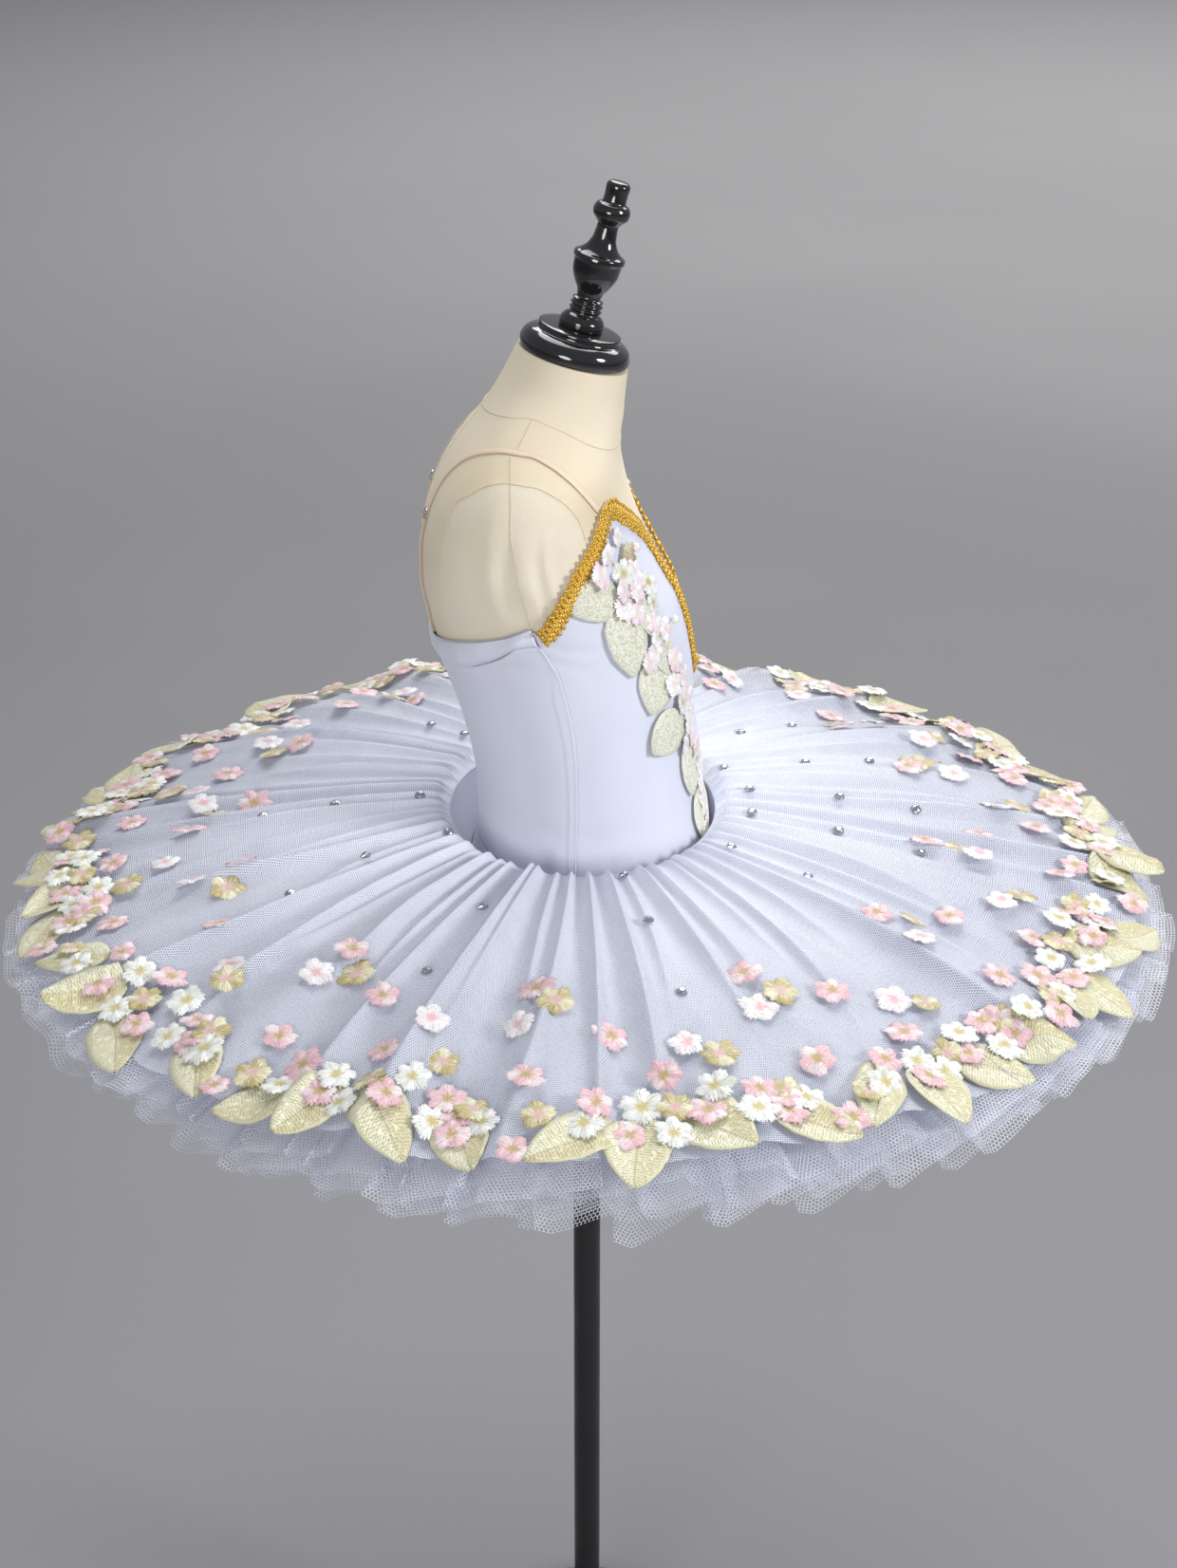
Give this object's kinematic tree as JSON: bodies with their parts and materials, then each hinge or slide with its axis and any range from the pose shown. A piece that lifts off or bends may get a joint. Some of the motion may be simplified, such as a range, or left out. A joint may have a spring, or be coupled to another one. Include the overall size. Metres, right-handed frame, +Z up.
{
  "type": "ballet tutu on limbless dress form",
  "caption": "Child's classical pancake tutu with stretch bodice, gold braid and flower-and-leaf embroidery, standing on a limbless linen dress form with pole and round base.",
  "frame": {"origin": "on the floor under the middle of the pole, at the underside of the round base", "axes": "+Z up along the pole; the figure faces -Y and its left side is +X"},
  "size_m": [0.89, 0.89, 1.3493],
  "materials": {
    "linen": "matt cream linen and cotton jersey stretched on the form",
    "black_lacquer": "gloss black lacquer on turned wood",
    "black_steel": "satin black enamel",
    "white_spandex": "white stretch satin with a soft cool sheen",
    "nude_elastic": "flat skin-coloured elastic",
    "gold_gimp": "twisted metallic gold gimp braid",
    "leaf_embroidery": "satin stitch in pale yellow-green rayon thread",
    "flower_thread": "satin stitch in pink, white and gold rayon thread",
    "white_net": "stiff white hexagonal nylon net",
    "silver_wire": "nickel-plated",
    "crystal": "foil-backed faceted glass stone",
    "pearl": "pearly lacquer on a sewn bead"
  },
  "bodies": {
    "root": {"form_torso": "linen", "neck_cap": "black_lacquer", "finial": "black_lacquer", "stand_base": "black_steel", "stand_collar": "black_steel", "stand_pole": "black_steel", "stand_flange": "black_steel", "bodice_front": "white_spandex", "bodice_back": "white_spandex", "back_band": "white_spandex", "strap_left": "nude_elastic", "strap_right": "nude_elastic", "strap_slider_left": "silver_wire", "strap_slider_right": "silver_wire", "gold_braid_left": "gold_gimp", "gold_braid_right": "gold_gimp", "bodice_spray_left": "leaf_embroidery", "bodice_spray_right": "leaf_embroidery", "brief": "white_spandex", "hip_yoke": "white_spandex", "skirt_top": "white_net", "leaf_border": "leaf_embroidery", "net_layer_1": "white_net", "net_layer_2": "white_net", "net_layer_3": "white_net"}
  },
  "joints": []
}
